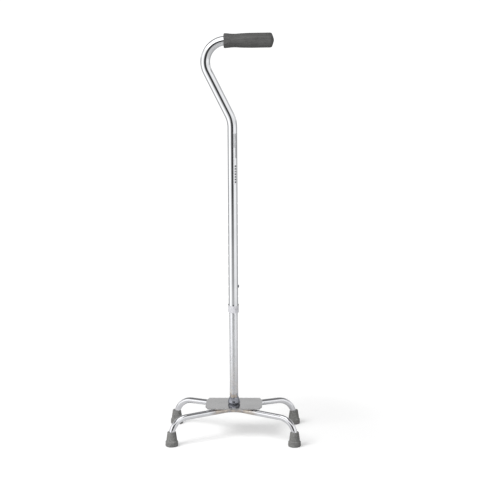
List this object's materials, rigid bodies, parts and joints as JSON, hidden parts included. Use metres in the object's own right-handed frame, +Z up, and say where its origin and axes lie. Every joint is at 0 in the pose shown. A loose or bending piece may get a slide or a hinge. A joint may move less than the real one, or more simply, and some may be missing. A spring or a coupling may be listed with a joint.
{
  "type": "quad walking cane",
  "caption": "Height-adjustable walking cane with a cranked handle and foam grip on a low four-footed base with rubber tips.",
  "frame": {"origin": "where the shaft axis meets the floor, centred between the four feet", "axes": "+Z up along the shaft, +X the way the handle points and along the long side of the base, +Y towards the rear leg tube"},
  "size_m": [0.327, 0.223, 0.9856],
  "materials": {
    "polished_tube": "polished",
    "polished_legs": "polished",
    "satin_tube": "satin",
    "grip_foam": "matte",
    "black_plastic": "matte",
    "pin_steel": "satin",
    "blank_label": "satin",
    "nylon": "satin",
    "button_steel": "polished",
    "spring_steel": "satin",
    "dark_steel": "polished",
    "plate_steel": "satin",
    "weld_steel": "matte",
    "tip_rubber": "matte",
    "washer_steel": "satin"
  },
  "bodies": {
    "base": {"base_plate": "plate_steel", "front_leg_tube": "polished_legs", "rear_leg_tube": "polished_legs", "leg_welds": "weld_steel", "socket_boss": "dark_steel", "lower_tube": "satin_tube", "lower_tube_cap": "black_plastic", "button_spring": "spring_steel", "tip_front_left": "tip_rubber", "tip_front_right": "tip_rubber", "tip_rear_left": "tip_rubber", "tip_rear_right": "tip_rubber", "tip_washers": "washer_steel"},
    "slide_ring": {"wear_ring": "nylon"},
    "handle": {"upper_tube": "polished_tube", "handle_grip": "grip_foam", "tube_end_plug": "black_plastic", "collar_stop_pins": "pin_steel", "shaft_label": "blank_label"},
    "collar": {"lock_collar": "nylon"},
    "button": {"snap_button": "button_steel"}
  },
  "joints": [
    {"name": "height_adjust", "type": "slide", "parent": "base", "child": "slide_ring", "axis": [0, 0, 1], "range_m": [-0.2032, 0.0254], "deforming": ["snap_button"]},
    {"name": "handle_turn", "type": "hinge", "parent": "slide_ring", "child": "handle", "pos_m": [0, 0, 0.3177], "axis": [0, 0, 1], "range_deg": [0, 180], "deforming": ["snap_button"]},
    {"name": "collar_turn", "type": "hinge", "parent": "handle", "child": "collar", "pos_m": [0, 0, 0.3175], "axis": [0, 0, 1], "range_deg": [0, 90]},
    {"name": "button_press", "type": "slide", "parent": "base", "child": "button", "axis": [-1, 0, 0], "range_m": [0, 0.0039], "stiffness_N_per_m": 900, "springref_m": -0.004, "deforming": ["button_spring"]}
  ]
}
